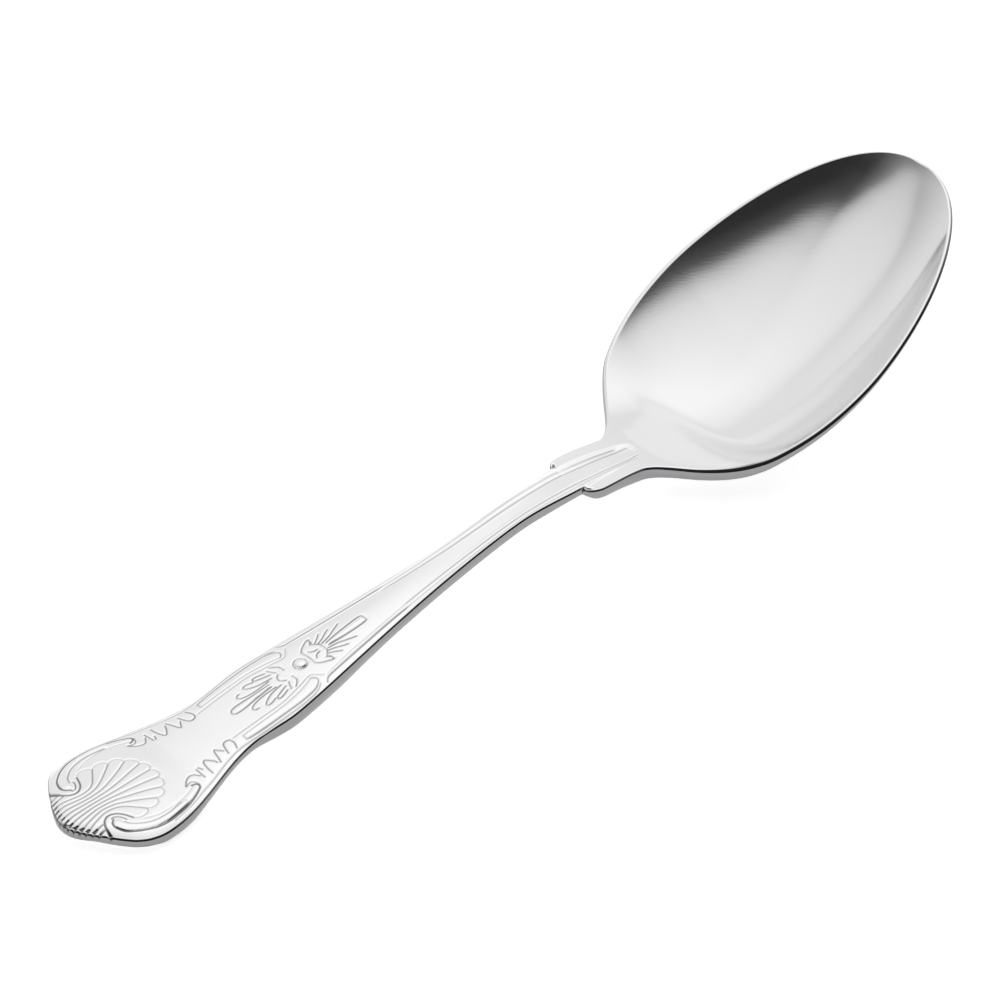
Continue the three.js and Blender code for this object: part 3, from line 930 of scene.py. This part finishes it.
@dataclass(frozen=True)
class Spoon:
    """The finished spoon: one sheet wrapped round the section of the blank and struck with its ornament."""

    blank: Blank = Blank()
    ornament: ShellAndThread = ShellAndThread()
    steel: Steel = Steel()
    face_columns: int = 64
    back_columns: int = 16
    lip_nodes: tuple[float, ...] = (1.0, 0.85, 0.15)
    bevel_nodes: tuple[float, ...] = (1.0, 0.86, 0.5, 0.12, 0.0)
    under_nodes: tuple[float, ...] = (0.08, 0.35, 0.65, 1.03)
    spacing: Points = ((0.0, 0.17), (31.0, 0.24), (62.0, 1.2), (100.0, 0.3), (117.0, 0.85), (177.0, 0.33))
    handle_edge: Edge = Edge(lip=0.1, tilt=0.0, bevel=0.22, fall=0.27)
    rim_edge: Edge = Edge(lip=0.24, tilt=0.12, bevel=0.32, fall=0.42)
    rim_from: tuple[float, float] = (104.0, 128.0)
    under_edge: float = 0.35
    # Reach of the painted shade on the upper edge and on the under edge.
    edge_shade_fade: float = 1.6
    under_shade_fade: float = 2.0
    reach: float = 2.3
    relief_edge: float = 0.3
    weld: float = 1e-7

    def stations(self) -> Array:
        """Places of the cross sections, spaced evenly along the outline within each region.

        Returns:
            Places along the spoon, in rising order.
        """
        x, half = self.blank.outline()
        step = np.hypot(np.diff(x), np.diff(half))
        starts, sizes = np.array(self.spacing).T
        size = sizes[np.searchsorted(starts, x[1:], side="right") - 1]
        count = np.concatenate(([0.0], np.cumsum(step / size)))
        return np.interp(np.linspace(0.0, count[-1], int(count[-1]) + 1), count, x)

    def upper(self, x: Array) -> Array:
        """Points of the upper face, from the middle line out to the edge.

        Args:
            x: Places of the cross sections.

        Returns:
            An array of sections, points, and what sections() gives for a point.
        """
        lip, tilt, bevel, fall = (
            ease_between(handle, rim, x[:, None], *self.rim_from)
            for handle, rim in zip(astuple(self.handle_edge), astuple(self.rim_edge))
        )
        inner = self.blank.offset(x, (lip + bevel)[:, 0])[:, None]
        on_lip = bevel + lip * np.array(self.lip_nodes)
        on_bevel = bevel * np.array(self.bevel_nodes)
        marks = np.concatenate((on_lip, on_bevel), axis=1)
        edge = np.stack([self.blank.offset(x, mark) for mark in marks.T], axis=1)
        face = np.linspace(0.0, 1.0, self.face_columns, endpoint=False) * inner
        y = np.concatenate((face, edge), axis=1)
        xs = np.broadcast_to(x[:, None], y.shape)
        apart = self.blank.inset(x, y, self.reach)
        # The depth of each line also sets the painted shade of its bottom.
        relief, painted_line_shade = self.ornament.strike(xs.ravel(), y.ravel())
        z = self.blank.top(xs, y, inner, apart - bevel)
        z += relief.reshape(y.shape) * np.clip(apart / self.relief_edge, 0.0, 1.0)
        out_on_lip = np.clip((lip + bevel - apart) / lip, 0.0, 1.0)
        out_on_bevel = np.clip(1.0 - apart / bevel, 0.0, 1.0)
        z -= tilt * out_on_lip + fall * out_on_bevel
        # Painted shade on the bevel and the wall of the upper edge.
        painted_edge_shade = np.clip(self.edge_shade_fade - self.edge_shade_fade * apart / bevel, 0.0, 1.0)
        return np.stack((xs, y, z, painted_line_shade.reshape(y.shape), painted_edge_shade), axis=-1)

    def lower(self, x: Array) -> Array:
        """Points of the under face, from the edge in to the middle line.

        Args:
            x: Places of the cross sections.

        Returns:
            An array of sections, points, and what sections() gives for a point.
        """
        foot = [self.blank.offset(x, np.full_like(x, self.under_edge * node)) for node in self.under_nodes]
        back = np.linspace(1.0, 0.0, self.back_columns + 1)[1:] * foot[-1][:, None]
        y = np.concatenate((np.stack(foot, axis=1), back), axis=1)
        xs = np.broadcast_to(x[:, None], y.shape)
        apart = self.blank.inset(x, y, self.reach)
        out_on_edge = np.maximum(0.0, self.under_edge - apart)
        rounding = self.under_edge - np.sqrt(self.under_edge**2 - out_on_edge**2)
        z = self.blank.back(xs, y) + rounding
        # Painted shade along the rounded under edge, where it meets the floor.
        painted_edge_shade = np.clip(self.under_shade_fade - self.under_shade_fade * apart / self.under_edge, 0.0, 1.0)
        return np.stack((xs, y, z, np.zeros_like(y), painted_edge_shade), axis=-1)

    def sections(self) -> Array:
        """Points of every cross section, in order round it from the middle of its back.

        Returns:
            An array of sections, points, and coordinates in millimetres with two more values: how deep in a
            line of the ornament the point lies, which sets its painted shade, and how much painted edge
            shade it takes.
        """
        x = self.stations()
        right = np.concatenate((self.upper(x), self.lower(x)), axis=1)
        left = right[:, :0:-1] * np.array(MIRROR)
        return np.concatenate((left, right), axis=1)

    def build(self) -> bpy.types.Object:
        """Models the spoon.

        Returns:
            The finished piece, in metres, with its place in its mesh.
        """
        rings = self.sections()
        rows, columns = rings.shape[:2]
        bpy.ops.object.select_all(action="DESELECT")
        bpy.ops.mesh.primitive_grid_add(x_subdivisions=rows - 1, y_subdivisions=columns - 1, size=1.0)
        piece = bpy.context.object
        piece.name = piece.data.name = "spoon_struck"
        flat = np.empty(len(piece.data.vertices) * 3)
        piece.data.vertices.foreach_get("co", flat)
        row = np.rint((flat[0::3] + 0.5) * (rows - 1)).astype(int)
        column = np.rint((flat[1::3] + 0.5) * (columns - 1)).astype(int)
        placed = (rings[row, column, :3] - (self.blank.length / 2, 0.0, 0.0)) * MM
        piece.data.vertices.foreach_set("co", placed.ravel())
        # Stores the masks of the painted shade, in the lines and on the edge, as attributes of the mesh.
        for place, name in enumerate((PAINTED_LINE_SHADE, PAINTED_EDGE_SHADE), start=3):
            values = piece.data.attributes.new(name, "FLOAT", "POINT")
            values.data.foreach_set("value", rings[row, column, place])
        piece.data.update()
        bpy.ops.object.mode_set(mode="EDIT")
        bpy.ops.mesh.select_all(action="SELECT")
        bpy.ops.mesh.remove_doubles(threshold=self.weld)
        bpy.ops.mesh.fill_holes(sides=0)
        bpy.ops.mesh.select_all(action="SELECT")
        bpy.ops.mesh.normals_make_consistent(inside=False)
        bpy.ops.object.mode_set(mode="OBJECT")
        bpy.ops.object.shade_smooth()
        piece.data.materials.clear()
        piece.data.materials.append(self.steel.material(self.blank.length))
        return piece


@dataclass(frozen=True)
class Studio:
    """A white floor under a large soft box, with a lit wall behind the spoon and a dim camera side.

    Lengths here are metres, except the lens and the sensor in millimetres.
    """

    floor_colour: str = "#F4F4F4"
    floor_size: float = 8.0
    floor_drop: float = 0.00002
    floor_glow: float = 0.6
    mirror_glow: float = 0.46
    box_level: float = 1.06
    box_centre: tuple[float, float, float] = (0.55, 0.15, 1.0)
    box_stretch: float = 0.35
    box_lean: float = 0.7
    box_stops: Points = (
        (0.0, 1.0), (0.25, 0.985), (0.45, 0.935), (0.65, 0.875), (0.85, 0.81), (1.0, 0.74), (1.08, 0.65),
        (1.15, 0.54), (1.21, 0.38), (1.27, 0.18), (1.34, 0.07), (1.6, 0.025),
    )
    wall_axis: tuple[float, float, float] = (0.55, 0.75, 0.35)
    wall_from: tuple[float, float] = (-0.2, 0.92)
    wall_level: float = 0.83
    dim: float = 0.015
    horizon: float = 0.015
    lens: float = 288.0
    sensor: float = 36.0
    clip_end: float = 50.0
    eye: tuple[float, float, float] = (-0.67178, -0.62349, 0.75939)
    forward: tuple[float, float, float] = (0.56729, 0.52783, -0.63212)
    right: tuple[float, float, float] = (0.69909, -0.71437, 0.03089)

    def floor(self) -> None:
        """Lays the floor, which is white to the eye and still takes the spoon's shadow."""
        bpy.ops.object.select_all(action="DESELECT")
        bpy.ops.mesh.primitive_plane_add(size=self.floor_size, location=(0.0, 0.0, -self.floor_drop))
        floor = bpy.context.object
        floor.name = "studio_floor"
        bpy.ops.object.transform_apply(location=True)
        made = bpy.data.materials.new("white_paper_floor")
        made.use_nodes = True
        tree = made.node_tree
        tree.nodes.clear()
        paper = add_node(tree, "BsdfDiffuse", {"Color": linear(self.floor_colour)})
        rays = add_node(tree, "LightPath").outputs
        glows = {"Camera": self.floor_glow, "Glossy": self.mirror_glow, "Transmission": self.mirror_glow}
        level: float | bpy.types.Node = 0.0
        for ray, glow in glows.items():
            seen = rays[f"Is {ray} Ray"]
            lit = add_node(tree, "Math", {0: seen, 1: glow}, operation="MULTIPLY")
            level = add_node(tree, "Math", {0: lit, 1: level}, operation="MAXIMUM")
        shine = add_node(tree, "Emission", {"Color": linear(WHITE), "Strength": level})
        both = add_node(tree, "AddShader", {0: paper, 1: shine})
        add_node(tree, "OutputMaterial", {"Surface": both})
        floor.data.materials.append(made)

    def soft_box(self, tree: Tree, toward: Socket) -> Socket:
        """Adds the box overhead, whose light fades away from its centre.

        Args:
            tree: The world's node tree.
            toward: The direction looked in.

        Returns:
            The level of the box.
        """
        up = add_node(tree, "SeparateXYZ", {0: toward}).outputs["Z"]
        over = add_node(tree, "VectorMath", {0: self.box_centre, "Scale": up}, operation="SCALE")
        aside = add_node(tree, "VectorMath", {0: toward, 1: over}, operation="SUBTRACT")
        parts = add_node(tree, "SeparateXYZ", {0: aside}).outputs
        # The far half of the box reaches further over the handle.
        far = add_node(tree, "Math", {0: parts["Y"], 1: 0.0}, operation="MAXIMUM")
        lean = {0: far, 1: self.box_lean, 2: parts["X"]}
        along = add_node(tree, "Math", lean, operation="MULTIPLY_ADD")
        # The box is longer on the side of the bowl, so the offset counts for less there.
        eased = add_node(tree, "Math", {0: along, 1: self.box_stretch}, operation="MULTIPLY")
        least = add_node(tree, "Math", {0: along, 1: eased}, operation="MINIMUM")
        flat = add_node(tree, "CombineXYZ", {"X": least, "Y": parts["Y"]})
        away = add_node(tree, "VectorMath", {0: flat}, operation="LENGTH").outputs["Value"]
        # Below the horizon the height is held, so that the slant stays finite.
        above = add_node(tree, "Math", {0: up, 1: self.horizon}, operation="MAXIMUM")
        spread = add_node(tree, "Math", {0: away, 1: above}, operation="DIVIDE")
        reach = self.box_stops[-1][0]
        share = add_node(tree, "Math", {0: spread, 1: reach}, operation="DIVIDE")
        fade = add_node(tree, "ValToRGB", {0: share})
        stops = fade.color_ramp.elements
        for place, level in self.box_stops[1:-1]:
            stops.new(place / reach).color = grey(level)
        stops[0].color = grey(self.box_stops[0][1])
        stops[-1].color = grey(self.box_stops[-1][1])
        return add_node(tree, "Math", {0: fade, 1: self.box_level}, operation="MULTIPLY").outputs[0]

    def lit_wall(self, tree: Tree, toward: Socket) -> Socket:
        """Adds the lit wall and the dim light of the rest of the room.

        Args:
            tree: The world's node tree.
            toward: The direction looked in.

        Returns:
            The level of the wall and the room.
        """
        axis = tuple(Vector(self.wall_axis).normalized())
        facing = add_node(tree, "VectorMath", {0: toward, 1: axis}, operation="DOT_PRODUCT")
        lit = add_node(
            tree,
            "MapRange",
            {
                "Value": facing.outputs["Value"],
                "From Min": self.wall_from[0],
                "From Max": self.wall_from[1],
                "To Max": self.wall_level,
            },
            interpolation_type="SMOOTHSTEP",
        )
        return add_node(tree, "Math", {0: lit, 1: self.dim}, operation="ADD").outputs[0]

    def sky(self) -> None:
        """Lights the room: a soft sky, white wherever the camera sees it."""
        world = bpy.data.worlds.new("soft_studio")
        bpy.context.scene.world = world
        world.use_nodes = True
        tree = world.node_tree
        tree.nodes.clear()
        toward = add_node(tree, "TexCoord").outputs["Generated"]
        lights = {0: self.soft_box(tree, toward), 1: self.lit_wall(tree, toward)}
        light = add_node(tree, "Math", lights, operation="MAXIMUM")
        seen = add_node(tree, "LightPath").outputs["Is Camera Ray"]
        # Of a plain mix, inputs 2 and 3 are the two levels.
        level = add_node(tree, "Mix", {0: seen, 2: light, 3: 1.0}, data_type="FLOAT")
        back = add_node(tree, "Background", {"Color": linear(WHITE), "Strength": level})
        add_node(tree, "OutputWorld", {"Surface": back})

    def camera(self) -> None:
        """Sets the camera where the photograph was taken from."""
        data = bpy.data.cameras.new("camera")
        data.lens = self.lens
        data.sensor_width = self.sensor
        data.clip_end = self.clip_end
        camera = bpy.data.objects.new("camera", data)
        bpy.context.scene.collection.objects.link(camera)
        forward = Vector(self.forward).normalized()
        right = Vector(self.right)
        right = (right - forward * right.dot(forward)).normalized()
        up = right.cross(forward)
        turn = Matrix((right, up, -forward)).transposed()
        camera.matrix_world = Matrix.Translation(self.eye) @ turn.to_4x4()
        bpy.context.scene.camera = camera

    def build(self) -> None:
        """Sets the whole studio."""
        self.floor()
        self.sky()
        self.camera()
        bpy.context.scene.view_settings.view_transform = "Standard"


def main() -> None:
    """Builds the spoon and its studio."""
    logging.basicConfig(level=logging.INFO, format="%(name)s: %(message)s")
    piece = Spoon().build()
    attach(piece, "root")
    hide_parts("spoon")
    log.info("%s: %d faces", piece.name, len(piece.data.polygons))
    Studio().build()
    log.info("studio set")


if __name__ == "__main__":
    main()
